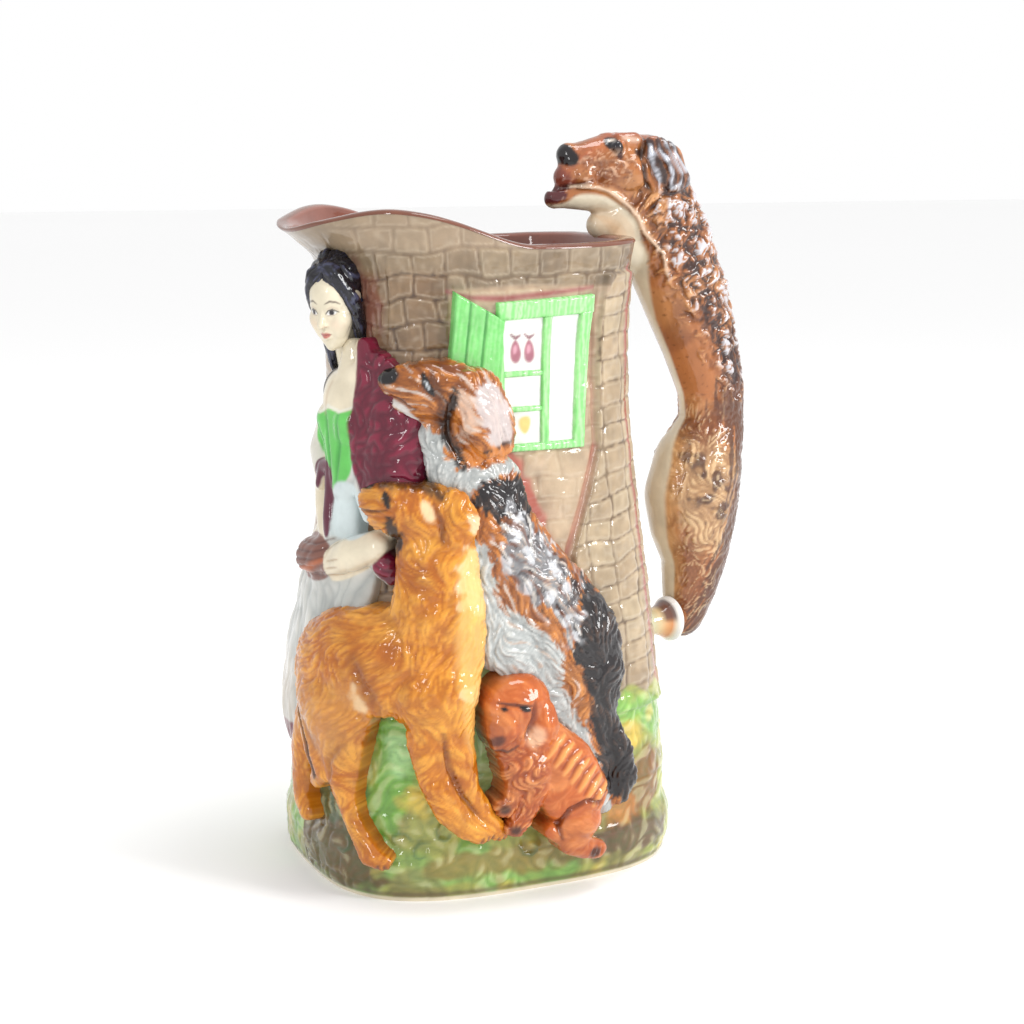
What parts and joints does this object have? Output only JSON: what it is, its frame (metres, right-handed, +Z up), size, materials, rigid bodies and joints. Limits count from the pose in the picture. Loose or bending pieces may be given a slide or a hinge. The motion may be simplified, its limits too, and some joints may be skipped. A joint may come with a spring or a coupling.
{
  "type": "ceramic jug",
  "caption": "Glazed earthenware jug with a pulled spout, relief figures of a woman and dogs by a brick wall, and a handle shaped as a long dog.",
  "frame": {"origin": "centre of the flat underside", "axes": "+Z up, spout to -X, handle to +X, the side with the dogs faces -Y"},
  "size_m": [0.1485, 0.1001, 0.205],
  "materials": {
    "glazed_clay": "hand-painted earthenware under a thick clear gloss glaze"
  },
  "bodies": {
    "root": {"jug": "glazed_clay"}
  },
  "joints": []
}
